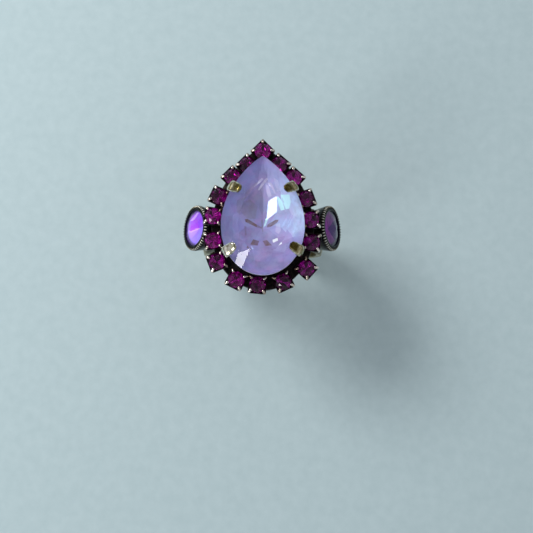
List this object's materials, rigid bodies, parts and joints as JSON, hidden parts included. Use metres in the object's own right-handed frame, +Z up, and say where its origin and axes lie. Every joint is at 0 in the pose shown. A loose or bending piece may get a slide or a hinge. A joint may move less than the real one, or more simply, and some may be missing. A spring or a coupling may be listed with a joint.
{
  "type": "cocktail ring",
  "caption": "Finger ring with a pear-cut centre stone in a claw basket, a halo of small square-set stones and a round stone in a serrated bezel on each shoulder.",
  "frame": {"origin": "centre of the finger hole", "axes": "+Z up from the finger hole to the head, +Y along the finger towards the tip of the pear, +X to the right-hand side stone"},
  "size_m": [0.0256, 0.0246, 0.0272],
  "materials": {
    "band_brass": "antique, polished on the high spots",
    "setting_brass": "antique, polished",
    "dark_brass": "oxidised, near black",
    "cup_metal": "oxidised with bright prong tips",
    "bezel_metal": "oxidised with bright teeth",
    "lavender_crystal": "faceted, pearly pastel",
    "fuchsia_crystal": "faceted, foiled back",
    "violet_crystal": "faceted, foiled back"
  },
  "bodies": {
    "root": {"band": "band_brass", "backing_plate": "dark_brass", "center_setting": "setting_brass", "center_stone": "lavender_crystal", "halo_cup_01": "cup_metal", "halo_cup_02": "cup_metal", "halo_cup_03": "cup_metal", "halo_cup_04": "cup_metal", "halo_cup_05": "cup_metal", "halo_cup_06": "cup_metal", "halo_cup_07": "cup_metal", "halo_cup_08": "cup_metal", "halo_cup_09": "cup_metal", "halo_cup_10": "cup_metal", "halo_cup_11": "cup_metal", "halo_cup_12": "cup_metal", "halo_cup_13": "cup_metal", "halo_cup_14": "cup_metal", "halo_cup_15": "cup_metal", "halo_cup_16": "cup_metal", "halo_stone_01": "fuchsia_crystal", "halo_stone_02": "fuchsia_crystal", "halo_stone_03": "fuchsia_crystal", "halo_stone_04": "fuchsia_crystal", "halo_stone_05": "fuchsia_crystal", "halo_stone_06": "fuchsia_crystal", "halo_stone_07": "fuchsia_crystal", "halo_stone_08": "fuchsia_crystal", "halo_stone_09": "fuchsia_crystal", "halo_stone_10": "fuchsia_crystal", "halo_stone_11": "fuchsia_crystal", "halo_stone_12": "fuchsia_crystal", "halo_stone_13": "fuchsia_crystal", "halo_stone_14": "fuchsia_crystal", "halo_stone_15": "fuchsia_crystal", "halo_stone_16": "fuchsia_crystal", "side_bezel_left": "bezel_metal", "side_bezel_right": "bezel_metal", "side_stone_left": "violet_crystal", "side_stone_right": "violet_crystal"}
  },
  "joints": []
}
